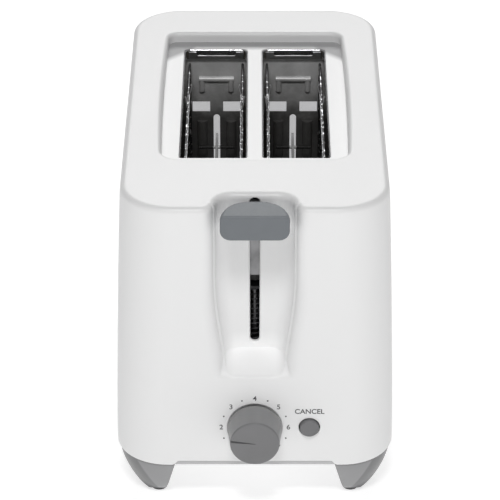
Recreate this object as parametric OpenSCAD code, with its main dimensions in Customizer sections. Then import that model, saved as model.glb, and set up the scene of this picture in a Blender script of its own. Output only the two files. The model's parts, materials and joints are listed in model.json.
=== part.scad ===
// Pop up toaster for two slices: an assembly of separate pieces, in millimetres.
// +Z is up, -Y is the lever end, and z = 0 is the table. The origin is under the middle of the whole box.

/* [Shell] */
// Width of the shell at its lower edge
shell_w = 160.4; // [156:0.1:193]
// Lean of each side wall inwards, from its lower edge to the top
side_draft = 5.2; // [1:0.1:8]
// Length of the shell at its lower edge
shell_l = 267; // [262:1:321]
// Lean of each end wall inwards, from its lower edge to the top
end_draft = 3.5; // [0.5:0.1:8]
// Height of the top rim above the table
shell_h = 192.4; // [190:0.2:235]
// Height of the shell's lower edge above the table
ground_gap = 28.4; // [24:0.2:34]
// Wall thickness of the shell
wall = 2.5; // [2:0.1:3]
// Radius of the shell's upright corners
corner_r = 30; // [24:1:36]
// Radius of the shell's top edge
edge_r = 4; // [2:0.5:6]

/* [Top opening] */
// Width of the sunk opening in the top
recess_w = 106; // [104:1:112]
// Distance from the shell's front to the sunk opening
recess_front = 62; // [60:1:70]
// Depth from the rim down to the inner panel
recess_depth = 6.3; // [5:0.1:9]
// Corner radius of the sunk opening
recess_r = 8; // [5:1:12]
// Thickness of the inner panel
panel_t = 2; // [1.5:0.1:3]

/* [Bread slots] */
// Width of each bread slot
slot_w = 37.6; // [34:0.2:39]
// Length of each bread slot
slot_l = 143.2; // [136:0.2:150]
// Width of the bridge between the slots
bridge_w = 10.2; // [9:0.2:12]
// Distance from the sunk opening's front edge to the slots
slot_front_gap = 14.8; // [12:0.2:18]
// Distance from the slots to the sunk opening's rear edge
slot_rear_gap = 10; // [8:0.2:14]
// Thickness of the bright frame round each slot
frame_t = 0.8; // [0.5:0.1:1.2]
// Depth of the bright frame
frame_h = 6; // [4:0.5:8]

/* [Lever] */
// Width of the trough at its top
trough_w = 46.6; // [44:0.2:52]
// Width of the trough at its foot
trough_low_w = 36; // [30:0.5:42]
// Depth of the trough behind the shell's front
trough_d = 21; // [19:0.5:24]
// Height of the trough's lower lip
trough_low_z = 84.5; // [82:0.5:90]
// Rise of the ramp at the trough's foot
ramp_rise = 8.5; // [5:0.5:12]
// Corner radius of the trough in plan
trough_r = 12; // [8:1:16]
// Width of the lever slot
lever_slot_w = 5.7; // [4.8:0.1:7]
// Width of the handle
handle_w = 38.4; // [34:0.2:40]
// Height of the handle
handle_h = 15.4; // [12:0.2:17]
// Depth of the handle, front to back
handle_d = 20.5; // [17:0.5:22]
// Drop from the rim to the top of the handle
handle_drop = 1.4; // [1:0.1:4]
// Travel of the lever and carriage
travel = 75; // [60:1:78]

/* [Controls] */
// Height of the dial's centre
dial_z = 51.7; // [48:0.1:54]
// Diameter of the dial at its base
dial_base_d = 30.8; // [28:0.2:34]
// Diameter of the dial's face
dial_face_d = 28; // [25:0.2:31]
// Length of the dial in front of the shell
dial_proud = 17; // [14:0.5:20]
// Diameter of the dial's shaft
dial_shaft_d = 6; // [5:0.5:7]
// Angle of the pointer groove from the +X side
pointer_angle = 173; // [100:1:230]
// Sideways place of the cancel button
button_x = 31.2; // [28:0.2:34]
// Diameter of the cancel button
button_d = 11.5; // [10:0.1:13]
// Travel of the cancel button
button_travel = 1.5; // [1:0.1:2]

/* [Toasting chamber] */
// Thickness of the end plates and side reflectors
plate_t = 0.8; // [0.6:0.1:1.2]
// Height of the bread racks' top at rest
rack_top_z = 124; // [118:1:140]
// Thickness of each rack bar
rack_t = 1.6; // [1.2:0.1:2]
// Thickness of a mica heater card
card_t = 1; // [0.8:0.1:1.4]
// Thickness of the heating ribbon
ribbon_t = 0.4; // [0.3:0.1:0.5]
// Diameter of the bread guard wire
guard_wire_d = 1.6; // [1.2:0.1:2]
// Gap between neighbouring guard wires
guard_pitch = 16; // [12:1:20]

/* [Guide and spring] */
// Diameter of the guide rod
rod_d = 5; // [4:0.5:6]
// Outer diameter of the lift spring
spring_d = 12; // [10:0.5:14]
// Diameter of the spring wire
spring_wire_d = 1.2; // [0.9:0.1:1.5]
// Turns of the lift spring
spring_turns = 11; // [8:1:13]

/* [Crumb tray and base] */
// Width of the crumb tray
tray_w = 96; // [88:1:97]
// Depth of the crumb tray
tray_h = 7; // [6:0.5:8]
// Thickness of the crumb tray's sheet
tray_t = 0.8; // [0.6:0.1:1.2]
// Thickness of the base plate
base_t = 2.6; // [2:0.1:3.5]
// Diameter of the cord inlet's bore
inlet_bore_d = 7.4; // [6:0.1:9]
// Height of the cord inlet
inlet_z = 58; // [50:1:66]
// Distance of the cord inlet from the middle
inlet_x = 46; // [40:1:48]

/* [Fits] */
// Gap round pieces that move past each other
slide_gap = 0.35; // [0.3:0.05:0.6]
// Radial gap of a running fit
run_gap = 0.05; // [0.02:0.01:0.1]
// Radial gap round a screw's shank
screw_gap = 0.05; // [0.02:0.01:0.1]

/* [Hidden] */
$fn = 48;
eps = 0.1;
big = 400;

// The shell and its sides
front_y = dial_proud - (shell_l + dial_proud) / 2;
rear_y = front_y + shell_l;
shell_cy = (front_y + rear_y) / 2;
shell_top_l = shell_l - 2 * end_draft;
shell_top_w = shell_w - 2 * side_draft;
draft_h = shell_h - ground_gap;
boss_r = 4.5;
screw_r = 1.4;
boss_h = 30;
boss_inset = 6.6;
boss_ys = [front_y + 46, rear_y - 46];

// The opening, the panel and the slots
panel_z = shell_h - recess_depth;
recess_l = slot_front_gap + slot_l + slot_rear_gap;
recess_y0 = front_y + recess_front;
recess_cy = recess_y0 + recess_l / 2;
panel_lap = 3;
slot_cx = (bridge_w + slot_w) / 2;
slot_y0 = recess_y0 + slot_front_gap;
slot_y1 = slot_y0 + slot_l;
slot_cy = (slot_y0 + slot_y1) / 2;
slot_r = 3;
frame_sink = 0.5;

// The trough, the lever and the carriage
trough_y = front_y + trough_d;
trough_knee_z = 132;
trough_low_r = 7;
trough_reach = 70;
handle_top_z = shell_h - handle_drop;
handle_low_z = handle_top_z - handle_h;
handle_back_gap = 3;
handle_y1 = trough_y - handle_back_gap;
handle_y0 = handle_y1 - handle_d;
handle_corner_r = 4;
arm_h = 11;
arm_w = lever_slot_w - 2 * slide_gap;
arm_bite = 9;
arm_low_z = handle_low_z + 1.5;
lever_slot_low_z = arm_low_z - travel - 5.4;
lever_slot_top_z = arm_low_z + arm_h + 2;
arm_plate_w = 16;
arm_plate_t = 1.5;
arm_plate_y = trough_y + wall + 2 * slide_gap;

// The chamber
chamber_gap = 2;
plate_front_y = slot_y0 - chamber_gap;
plate_rear_y = slot_y1 + chamber_gap;
chamber_low_z = ground_gap + tray_h + 2.4;
chamber_top_z = panel_z - frame_h - frame_sink - 1;
chamber_half_w = slot_cx + slot_w / 2 + 14;
foot_half_w = shell_w / 2 - boss_inset - boss_r - 1.2;
plate_pass_half_w = tray_w / 2 + 1;
card_low_z = chamber_low_z + 6;
card_top_z = chamber_top_z - 10;
card_inner_x = 2.6;
card_outer_x = slot_cx + slot_w / 2 + 6;
ribbon_w = 2;
ribbon_count = 9;
rack_bar_h = 8;
rack_rod_d = 2;
rack_rod_half = 11;
rack_rod_count = 8;
rack_tail = 5;
rack_slit_w = rack_t + 2.4;
rack_slit_top_z = rack_top_z + 16;
rack_slit_low_z = rack_top_z - rack_bar_h - travel - 2;

// The guards hang on pivots low in the chamber
guard_inset = 2.4;
pivot_z = chamber_low_z + 8;
pivot_d = 2;
pivot_tail = 2;
guard_top_z = chamber_top_z - 2;
guard_end_gap = 4;

// The compartment behind the lever
rod_y = arm_plate_y + arm_plate_t + 11;
bridge_t = 1.5;
armature_t = 3;
bridge_z = rack_top_z + 6;
armature_z = bridge_z - armature_t;
core_top_z = armature_z - travel - slide_gap;
core_low_z = ground_gap;
magnet_x = 24;
magnet_w = 20;
magnet_d = 12;
magnet_leg = 5;
coil_clear = 0.2;
bush_r = 6;
bush_h = 12;
bush_low_z = bridge_z - 3;
rod_top_z = chamber_top_z + 3;
bumper_h = 6;
spring_low_z = ground_gap + bumper_h;
spring_top_z = bush_low_z;
bracket_z = chamber_top_z;
bridge_y0 = arm_plate_y + arm_plate_t;
bridge_y1 = plate_front_y - 3;

// The controls
board_t = 1.6;
board_y = front_y + 15;
board_x0 = -30;
board_x1 = 46;
board_top_z = trough_low_z - wall - 7;
board_low_z = ground_gap;
pot_w = 17;
pot_d = 8;
dial_gap = 0.6;
dial_hole_r = dial_shaft_d / 2 + 1;
dial_shaft_bite = 10;
button_proud = 1.4;
button_stem_d = 5;
button_flange_d = button_d + 3;
switch_w = 6;
switch_d = 3.4;

// The base, the feet and the tray
base_low_z = ground_gap - base_t;
foot_size = 32;
foot_top_inset = 1;
pad_t = 2;
pad_r = 4.5;
foot_low_r = 5.5;
foot_x = shell_w / 2 - 24.2;
foot_dy = 17;
tray_z = ground_gap + slide_gap;
tray_y0 = plate_front_y + plate_t + 3;
tray_y1 = rear_y - end_draft * tray_h / draft_h - 0.4;
tray_grip_w = 60;
mouth_gap = 0.5;
inlet_flange_r = 8;
inlet_flange_t = 2;
terminal_w = 16;
terminal_l = 13;
terminal_x = -tray_w / 2 - 2 - terminal_w;
terminal_y = plate_rear_y + plate_t + 12;
terminal_top_z = ground_gap + 15;
lead_d = 2.4;

// ---- shapes that repeat ----

// A rectangle with round corners, centred
module rounded_rect(w, l, r) {
    square([w - 2 * r, l], center = true);
    square([w, l - 2 * r], center = true);
    for (sx = [-1, 1], sy = [-1, 1])
        translate([sx * (w / 2 - r), sy * (l / 2 - r)]) circle(r = r);
}

// A straight round bar between two points
module bar(a, b, d) {
    v = b - a;
    length = norm(v);
    translate(a)
        rotate([0, acos(v[2] / length), atan2(v[1], v[0])])
            cylinder(h = length, d = d);
}

// A run of bars through a list of points, with round elbows
module wire(points, d) {
    for (i = [0 : len(points) - 2]) bar(points[i], points[i + 1], d);
    for (i = [1 : len(points) - 2]) translate(points[i]) sphere(d = d);
}

// A cylinder along +Y from its first point
module y_cylinder(at, h, r) {
    translate(at) rotate([-90, 0, 0]) cylinder(h = h, r = r);
}

// A block between two corners
module block(low, high) {
    translate(low) cube(high - low);
}

// An upright slot cut along Y, with round ends
module upright_slot(x, y0, y1, z0, z1, w) {
    block([x - w / 2, y0, z0 + w / 2], [x + w / 2, y1, z1 - w / 2]);
    for (z = [z0 + w / 2, z1 - w / 2]) y_cylinder([x, y0, z], y1 - y0, w / 2);
}

// A screw that stands on its head, with its shank upwards
module screw(shank_r, length, head_r, head_h) {
    cylinder(h = head_h, r = head_r);
    translate([0, 0, head_h - eps]) cylinder(h = length + eps, r = shank_r);
}

// One level of the shell in plan
module shell_level(z, w, l, r) {
    translate([0, shell_cy, z]) linear_extrude(eps) rounded_rect(w, l, r, $fn = 32);
}

// The whole shell as a solid, grown by g, from height low upwards
module shell_solid(g, low) {
    hull() {
        shell_level(low, shell_w + 2 * g, shell_l + 2 * g, corner_r + g);
        shell_level(shell_h - edge_r + g - eps, shell_top_w + 2 * g, shell_top_l + 2 * g, corner_r + g);
        shell_level(shell_h - edge_r * 0.3 + g - eps, shell_top_w - edge_r * 0.6 + 2 * g,
            shell_top_l - edge_r * 0.6 + 2 * g, corner_r - edge_r * 0.3 + g);
        shell_level(shell_h + g - eps, shell_top_w - edge_r * 2 + 2 * g, shell_top_l - edge_r * 2 + 2 * g,
            corner_r - edge_r + g);
    }
}

// The space of the lever trough, grown by g
module trough_space(g) {
    half = trough_w / 2 + g;
    low_half = trough_low_w / 2 + g;
    low = trough_low_z - g;
    r = trough_low_r + g;
    slope = ramp_rise / trough_d;
    intersection() {
        translate([0, trough_y + g, 0])
            rotate([90, 0, 0])
                linear_extrude(trough_reach) {
                    polygon([[-half, big], [-half, trough_knee_z], [-low_half, low + r], [-low_half + r, low],
                        [low_half - r, low], [low_half, low + r], [half, trough_knee_z], [half, big]]);
                    for (s = [-1, 1]) translate([s * (low_half - r), low + r]) circle(r = r);
                }
        rotate([90, 0, 90])
            linear_extrude(shell_w, center = true)
                polygon([[trough_y + g, big], [trough_y + g, trough_low_z + ramp_rise - g],
                    [trough_y - trough_reach, trough_low_z + ramp_rise - g - slope * trough_reach],
                    [trough_y - trough_reach, big]]);
        translate([0, trough_y + g - trough_reach / 2, 0])
            linear_extrude(big) rounded_rect(2 * half, trough_reach, trough_r + g);
    }
}

// ---- casing ----

module recess_plan(g) {
    translate([0, recess_cy]) rounded_rect(recess_w + 2 * g, recess_l + 2 * g, recess_r + g);
}

module shell_bosses() {
    for (s = [-1, 1], y = boss_ys)
        translate([s * (shell_w / 2 - boss_inset), y, ground_gap]) cylinder(h = boss_h, r = boss_r);
}

module outer_shell() {
    color("whitesmoke")
        difference() {
            union() {
                difference() {
                    shell_solid(0, ground_gap);
                    shell_solid(-wall, ground_gap - eps);
                }
                intersection() {
                    shell_solid(0, ground_gap);
                    union() {
                        translate([0, 0, panel_z]) linear_extrude(recess_depth) recess_plan(wall);
                        trough_space(wall);
                        shell_bosses();
                    }
                }
            }
            translate([0, 0, panel_z - eps]) linear_extrude(big) recess_plan(0);
            trough_space(0);
            upright_slot(0, front_y, trough_y + 2 * wall, lever_slot_low_z, lever_slot_top_z, lever_slot_w);
            y_cylinder([0, front_y - eps, dial_z], 3 * wall, dial_hole_r);
            y_cylinder([button_x, front_y - eps, dial_z], 3 * wall, button_d / 2 + slide_gap);
            for (s = [-1, 1], y = boss_ys)
                translate([s * (shell_w / 2 - boss_inset), y, ground_gap - eps])
                    cylinder(h = boss_h - wall, r = screw_r + screw_gap);
            block([-tray_w / 2 - mouth_gap, rear_y - 3 * wall, ground_gap - eps],
                [tray_w / 2 + mouth_gap, rear_y + wall, tray_z + tray_h + mouth_gap]);
            y_cylinder([-inlet_x, rear_y - 3 * wall, inlet_z], 4 * wall, inlet_bore_d / 2 + inlet_flange_t);
        }
}

module top_panel() {
    color("white")
        difference() {
            translate([0, 0, panel_z - panel_t]) linear_extrude(panel_t) recess_plan(panel_lap);
            for (s = [-1, 1])
                translate([s * slot_cx, slot_cy, panel_z - 2 * panel_t])
                    linear_extrude(3 * panel_t)
                        rounded_rect(slot_w + 2 * frame_t, slot_l + 2 * frame_t, slot_r + frame_t);
        }
}

module slot_frame(x) {
    color("silver")
        translate([x, slot_cy, panel_z - frame_sink - frame_h])
            linear_extrude(frame_h)
                difference() {
                    rounded_rect(slot_w + 2 * frame_t, slot_l + 2 * frame_t, slot_r + frame_t);
                    rounded_rect(slot_w, slot_l, slot_r);
                }
}

module slot_frame_left() { slot_frame(-slot_cx); }
module slot_frame_right() { slot_frame(slot_cx); }

// The corner of the plan that one foot fills; sx and sy are the signs of its corner
module foot_corner(sx, sy, g) {
    translate([sx * (shell_w / 2 - foot_size / 2 + big / 2 - g),
        shell_cy + sy * (shell_l / 2 - foot_size / 2 + big / 2 - g)])
        square(foot_size + big, center = true);
}

module base_plan() {
    rounded_rect(shell_w - 2 * foot_top_inset, shell_l - 2 * foot_top_inset, corner_r - foot_top_inset);
}

module base_plate() {
    vent_w = 4;
    vent_l = 60;
    vent_pitch = 12;
    color("lightgray")
        difference() {
            translate([0, 0, base_low_z])
                linear_extrude(base_t)
                    difference() {
                        translate([0, shell_cy]) base_plan();
                        for (sx = [-1, 1], sy = [-1, 1]) foot_corner(sx, sy, 0);
                        for (s = [-1, 1], k = [1 : 4], y = [slot_cy - vent_l * 0.6, slot_cy + vent_l * 0.6])
                            translate([s * k * vent_pitch, y]) square([vent_w, vent_l], center = true);
                        for (s = [-1, 1], y = boss_ys)
                            translate([s * (shell_w / 2 - boss_inset), y]) circle(r = screw_r + screw_gap);
                    }
        }
}

module foot(sx, sy) {
    low_y = shell_cy + sy * (shell_l / 2 - foot_dy);
    color("darkgray") {
        intersection() {
            translate([0, 0, base_low_z]) linear_extrude(base_t) intersection() {
                translate([0, shell_cy]) base_plan();
                foot_corner(sx, sy, -slide_gap);
            }
            block([-big, -big, 0], [big, big, big]);
        }
        hull() {
            translate([0, 0, base_low_z - eps]) linear_extrude(2 * eps) intersection() {
                translate([0, shell_cy]) base_plan($fn = 32);
                foot_corner(sx, sy, -slide_gap);
            }
            translate([sx * foot_x, low_y, pad_t]) cylinder(h = eps, r = foot_low_r, $fn = 32);
        }
    }
}

module foot_front_left() { foot(-1, -1); }
module foot_front_right() { foot(1, -1); }
module foot_rear_left() { foot(-1, 1); }
module foot_rear_right() { foot(1, 1); }

module foot_pads() {
    color("dimgray")
        for (sx = [-1, 1], sy = [-1, 1])
            translate([sx * foot_x, shell_cy + sy * (shell_l / 2 - foot_dy), 0]) cylinder(h = pad_t, r = pad_r);
}

module base_screws() {
    head_h = 1.8;
    color("silver")
        for (s = [-1, 1], y = boss_ys)
            translate([s * (shell_w / 2 - boss_inset), y, base_low_z - head_h])
                screw(screw_r, boss_h - 3 * wall, 2.8, head_h);
}

// ---- toasting chamber ----

// The outline of an end plate: a wide foot below and the chamber's width above
module end_plate_outline() {
    polygon([[-foot_half_w, ground_gap], [foot_half_w, ground_gap], [foot_half_w, chamber_low_z],
        [chamber_half_w, chamber_low_z + 8], [chamber_half_w, chamber_top_z], [-chamber_half_w, chamber_top_z],
        [-chamber_half_w, chamber_low_z + 8], [-foot_half_w, chamber_low_z]]);
}

guard_xs = [-slot_cx - slot_w / 2 + guard_inset, -slot_cx + slot_w / 2 - guard_inset,
    slot_cx - slot_w / 2 + guard_inset, slot_cx + slot_w / 2 - guard_inset];

// What both end plates have cut out of them
module end_plate_cuts(y) {
    for (x = guard_xs) y_cylinder([x, y - plate_t, pivot_z], 3 * plate_t, pivot_d / 2 + run_gap);
    for (s = [-1, 1])
        upright_slot(s * slot_cx, y - plate_t, y + 2 * plate_t, rack_slit_low_z, rack_slit_top_z, rack_slit_w);
}

module front_end_plate() {
    color("silver")
        difference() {
            translate([0, plate_front_y, 0]) rotate([90, 0, 0]) linear_extrude(plate_t) end_plate_outline();
            end_plate_cuts(plate_front_y - plate_t);
        }
}

// A pressed rib with a half-round section, standing out of the plate towards the bread.
// It runs up from z0 to z1, or along +X when flat is true, and its root is sunk into the plate.
module plate_rib(at, length, r, flat = false) {
    translate(at)
        rotate([0, flat ? 90 : 0, 0])
            linear_extrude(length)
                intersection() {
                    circle(r = r);
                    translate([-r, -r]) square([2 * r, r + plate_t / 2]);
                }
}

module rear_end_plate() {
    rib_r = 3.2;
    rib_dx = 9.1;
    rib_top_z = rack_slit_top_z - 4;
    arch_half = 9;
    arch_r = 1.8;
    arch_z = chamber_top_z - 14;
    arch_leg = 8;
    window_w = 11;
    window_h = 7;
    window_dx = 9.6;
    window_z = rack_slit_top_z + 5.5;
    color("silver") {
        difference() {
            translate([0, plate_rear_y + plate_t, 0]) rotate([90, 0, 0]) linear_extrude(plate_t) end_plate_outline();
            end_plate_cuts(plate_rear_y);
            block([-plate_pass_half_w, plate_rear_y - plate_t, ground_gap - eps],
                [plate_pass_half_w, plate_rear_y + 2 * plate_t, chamber_low_z]);
            for (s = [-1, 1], t = [-1, 1])
                translate([s * slot_cx + t * window_dx, plate_rear_y, window_z])
                    cube([window_w, 4 * plate_t, window_h], center = true);
        }
        for (s = [-1, 1], t = [-1, 1]) {
            plate_rib([s * slot_cx + t * rib_dx, plate_rear_y, chamber_low_z + 20], rib_top_z - chamber_low_z - 20,
                rib_r);
            plate_rib([s * slot_cx + t * arch_half, plate_rear_y, arch_z - arch_leg], arch_leg, arch_r);
        }
        for (s = [-1, 1])
            plate_rib([s * slot_cx - arch_half - arch_r, plate_rear_y, arch_z], 2 * (arch_half + arch_r), arch_r,
                flat = true);
    }
}

module reflector(s) {
    x = s * chamber_half_w;
    color("gainsboro")
        block([min(x, x - s * plate_t), plate_front_y, chamber_low_z + 8],
            [max(x, x - s * plate_t), plate_rear_y, chamber_top_z]);
}

module reflector_left() { reflector(-1); }
module reflector_right() { reflector(1); }

// Screws that hold the end plates' feet to the base, through small angle clips
module chamber_screws() {
    clip_w = 10;
    clip_h = 6;
    color("silver")
        for (s = [-1, 1], y = [plate_front_y - plate_t, plate_rear_y + plate_t]) {
            d = y < slot_cy ? -1 : 1;
            x = s * (foot_half_w - clip_w / 2);
            block([x - clip_w / 2, min(y, y + d * clip_w), ground_gap],
                [x + clip_w / 2, max(y, y + d * clip_w), ground_gap + plate_t]);
            block([x - clip_w / 2, min(y, y + d * plate_t), ground_gap],
                [x + clip_w / 2, max(y, y + d * plate_t), ground_gap + clip_h]);
            translate([x, y + d * clip_w * 0.6, ground_gap + plate_t - eps]) cylinder(h = 1.6, r = 2.4);
        }
}

// A mica card, and the ribbon wound round it
module heater_card(x) {
    color("tan")
        block([x - card_t / 2, plate_front_y, card_low_z], [x + card_t / 2, plate_rear_y, card_top_z]);
}

module heater_ribbon(x) {
    edge_gap = 6;
    y0 = plate_front_y + edge_gap;
    y1 = plate_rear_y - edge_gap;
    pitch = (card_top_z - card_low_z) / ribbon_count;
    color("dimgray")
        for (i = [0 : ribbon_count - 1], t = [-1, 1]) {
            z = card_low_z + (i + 0.5) * pitch;
            side = x + t * card_t / 2;
            block([min(side, side + t * ribbon_t), y0, z - ribbon_w / 2],
                [max(side, side + t * ribbon_t), y1, z + ribbon_w / 2]);
        }
}

module heater_card_outer_left() { heater_card(-card_outer_x); }
module heater_card_inner_left() { heater_card(-card_inner_x); }
module heater_card_inner_right() { heater_card(card_inner_x); }
module heater_card_outer_right() { heater_card(card_outer_x); }
module ribbon_outer_left() { heater_ribbon(-card_outer_x); }
module ribbon_inner_left() { heater_ribbon(-card_inner_x); }
module ribbon_inner_right() { heater_ribbon(card_inner_x); }
module ribbon_outer_right() { heater_ribbon(card_outer_x); }

// A bread guard: a pivot wire, a rail at the top and upright wires between
module guard(x) {
    y0 = plate_front_y + guard_end_gap;
    y1 = plate_rear_y - guard_end_gap;
    count = floor((y1 - y0) / guard_pitch);
    pitch = (y1 - y0) / count;
    color("silver") {
        bar([x, plate_front_y - plate_t - pivot_tail, pivot_z], [x, plate_rear_y + plate_t + pivot_tail, pivot_z],
            pivot_d);
        bar([x, y0, guard_top_z], [x, y1, guard_top_z], guard_wire_d);
        for (i = [0 : count]) {
            bar([x, y0 + i * pitch, pivot_z], [x, y0 + i * pitch, guard_top_z], guard_wire_d);
            translate([x, y0 + i * pitch, guard_top_z]) sphere(d = guard_wire_d);
        }
    }
}

module guard_outer_left() { guard(guard_xs[0]); }
module guard_inner_left() { guard(guard_xs[1]); }
module guard_inner_right() { guard(guard_xs[2]); }
module guard_outer_right() { guard(guard_xs[3]); }

// ---- guide, spring and carriage ----

module guide_rod() {
    color("silver") translate([0, rod_y, ground_gap]) cylinder(h = rod_top_z - ground_gap, d = rod_d);
}

module rod_bracket() {
    color("silver")
        difference() {
            union() {
                block([-12, rod_y - rod_d, bracket_z - plate_t], [12, plate_front_y - plate_t, bracket_z]);
                block([-12, plate_front_y - 2 * plate_t, bracket_z - 12], [12, plate_front_y - plate_t, bracket_z]);
            }
            translate([0, rod_y, bracket_z - 2 * plate_t]) cylinder(h = 4 * plate_t, d = rod_d);
        }
}

// One ring of the spring's section, at angle a along the helix
function spring_ring(a, r, wire_r, rise) = [for (k = [0 : 60 : 300])
    let (reach = r + wire_r * cos(k))
        [reach * cos(a), reach * sin(a), a / 360 * rise + wire_r * sin(k)]];

module lift_spring() {
    sides = 6;
    per_turn = 16;
    r = (spring_d - spring_wire_d) / 2;
    rise = (spring_top_z - spring_low_z - spring_wire_d) / spring_turns;
    count = spring_turns * per_turn;
    points = [for (i = [0 : count]) each spring_ring(i * 360 / per_turn, r, spring_wire_d / 2, rise)];
    skin = [for (i = [0 : count - 1], k = [0 : sides - 1])
        let (a = i * sides + k, b = i * sides + (k + 1) % sides) [a, a + sides, b + sides, b]];
    low_cap = [for (k = [0 : sides - 1]) k];
    top_cap = [for (k = [sides - 1 : -1 : 0]) count * sides + k];
    color("slategray")
        translate([0, rod_y, spring_low_z + spring_wire_d / 2])
            polyhedron(points = points, faces = concat([low_cap, top_cap], skin));
}

// A felt ring on the base that the spring stands on
module travel_bumper() {
    color("dimgray")
        translate([0, rod_y, ground_gap])
            difference() {
                cylinder(h = bumper_h, d = spring_d + 3);
                translate([0, 0, -eps]) cylinder(h = bumper_h + 2 * eps, r = rod_d / 2 + run_gap);
            }
}

// Half an ellipse with a flat front, in plan
module handle_plan() {
    steps = 24;
    polygon(concat([[handle_w / 2, 0], [-handle_w / 2, 0]],
        [for (i = [0 : steps]) let (a = 180 - i * 180 / steps)
            [handle_w / 2 * cos(a), handle_d * 0.3 + handle_d * 0.7 * sin(a)]]));
}

module lever_handle() {
    r = handle_corner_r;
    color("slategray")
        difference() {
            intersection() {
                translate([0, handle_y0, handle_low_z]) linear_extrude(handle_h) handle_plan();
                translate([0, handle_y1 + eps, 0])
                    rotate([90, 0, 0])
                        linear_extrude(handle_d + 2 * eps) {
                            translate([0, handle_low_z + handle_h / 2]) rounded_rect(handle_w, handle_h, r);
                            translate([-handle_w / 2, handle_low_z + r]) square([handle_w, handle_h - r]);
                        }
            }
            block([-arm_w / 2, handle_y1 - arm_bite, arm_low_z], [arm_w / 2, handle_y1 + eps, arm_low_z + arm_h]);
        }
}

// The steel arm: its tongue passes through the lever slot, and its plate hangs behind the trough
module lever_arm() {
    plate_low_z = bridge_z + 9;
    color("gray") {
        block([-arm_w / 2, handle_y1 - arm_bite, arm_low_z], [arm_w / 2, arm_plate_y + eps, arm_low_z + arm_h]);
        block([-arm_plate_w / 2, arm_plate_y, plate_low_z],
            [arm_plate_w / 2, arm_plate_y + arm_plate_t, arm_low_z + arm_h]);
        for (s = [-1, 1])
            block([s * arm_plate_w / 2 - arm_plate_t / 2, arm_plate_y, bridge_z + bridge_t],
                [s * arm_plate_w / 2 + arm_plate_t / 2, arm_plate_y + 8, plate_low_z + 4]);
    }
}

module carriage_bridge() {
    half = slot_cx + 8;
    color("lightsteelblue")
        difference() {
            union() {
                block([-half, rod_y - bush_r - 3, bridge_z], [half, bridge_y1, bridge_z + bridge_t]);
                block([-arm_plate_w / 2 - 1, arm_plate_y, bridge_z], [arm_plate_w / 2 + 1, rod_y, bridge_z + bridge_t]);
            }
            translate([0, rod_y, bridge_z - eps]) cylinder(h = bridge_t + 2 * eps, r = bush_r);
        }
}

module guide_bush() {
    flange_r = bush_r + 2;
    flange_t = 1.5;
    color("ivory")
        translate([0, rod_y, bush_low_z])
            difference() {
                union() {
                    cylinder(h = bush_h, r = bush_r);
                    translate([0, 0, bridge_z - bush_low_z - flange_t]) cylinder(h = flange_t, r = flange_r);
                }
                translate([0, 0, -eps]) cylinder(h = bush_h + 2 * eps, r = rod_d / 2 + run_gap);
            }
}

// A bread rack: an upright bar along the slot with cross rods that the bread stands on
module bread_rack(x) {
    y0 = bridge_y1 - 8;
    y1 = plate_rear_y + plate_t + rack_tail;
    rod_y0 = plate_front_y + 8;
    rod_y1 = plate_rear_y - 12;
    pitch = (rod_y1 - rod_y0) / (rack_rod_count - 1);
    low = rack_top_z - rack_bar_h;
    color("silver") {
        block([x - rack_t / 2, y0, low], [x + rack_t / 2, y1, rack_top_z]);
        block([x - rack_t / 2, y0, rack_top_z - eps], [x + rack_t / 2, bridge_y1 - 1, bridge_z]);
        for (i = [0 : rack_rod_count - 1]) {
            y = rod_y0 + i * pitch;
            z = rack_top_z - rack_rod_d / 2;
            bar([x - rack_rod_half, y, z], [x + rack_rod_half, y, z], rack_rod_d);
        }
    }
}

module bread_rack_left() { bread_rack(-slot_cx); }
module bread_rack_right() { bread_rack(slot_cx); }

module armature() {
    color("gray")
        block([magnet_x - magnet_w / 2, rod_y - magnet_d / 2, armature_z],
            [magnet_x + magnet_w / 2, rod_y + magnet_d / 2, bridge_z]);
}

module contact_pusher() {
    color("ivory")
        block([-magnet_x - magnet_w / 2, rod_y - magnet_d / 2, armature_z],
            [-magnet_x + magnet_w / 2, rod_y + magnet_d / 2, bridge_z]);
}

// ---- base fittings of the front compartment ----

// A U of iron: a yoke on the base with three legs up
module magnet_core() {
    yoke_h = 5;
    color("gray") {
        block([magnet_x - magnet_w / 2, rod_y - magnet_d / 2, core_low_z],
            [magnet_x + magnet_w / 2, rod_y + magnet_d / 2, core_low_z + yoke_h]);
        for (x = [magnet_x - magnet_w / 2, magnet_x + magnet_w / 2 - magnet_leg])
            block([x, rod_y - magnet_leg, core_low_z], [x + magnet_leg, rod_y + magnet_leg, core_top_z]);
    }
}

module magnet_coil() {
    yoke_h = 5;
    low = core_low_z + yoke_h;
    half_leg = magnet_leg / 2 + coil_clear;
    color("chocolate")
        for (x = [magnet_x - magnet_w / 2 + magnet_leg / 2, magnet_x + magnet_w / 2 - magnet_leg / 2])
            difference() {
                block([x - magnet_leg / 2 - 2, rod_y - magnet_leg - 2, low],
                    [x + magnet_leg / 2 + 2, rod_y + magnet_leg + 2, core_top_z - 4]);
                block([x - half_leg, rod_y - magnet_leg - coil_clear, low - eps],
                    [x + half_leg, rod_y + magnet_leg + coil_clear, core_top_z]);
            }
}

module contact_block() {
    color("ivory")
        block([-magnet_x - magnet_w / 2, rod_y - magnet_d / 2, ground_gap],
            [-magnet_x + magnet_w / 2, rod_y + magnet_d / 2, core_top_z - 10]);
}

module contact_blades() {
    blade_t = 0.6;
    blade_w = 5;
    color("goldenrod")
        for (s = [-1, 1], t = [-1, 1])
            block([-magnet_x + s * 6 - blade_w / 2, rod_y + t * 3 - blade_t / 2, core_top_z - 10],
                [-magnet_x + s * 6 + blade_w / 2, rod_y + t * 3 + blade_t / 2, core_top_z]);
}

// ---- controls ----

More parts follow.
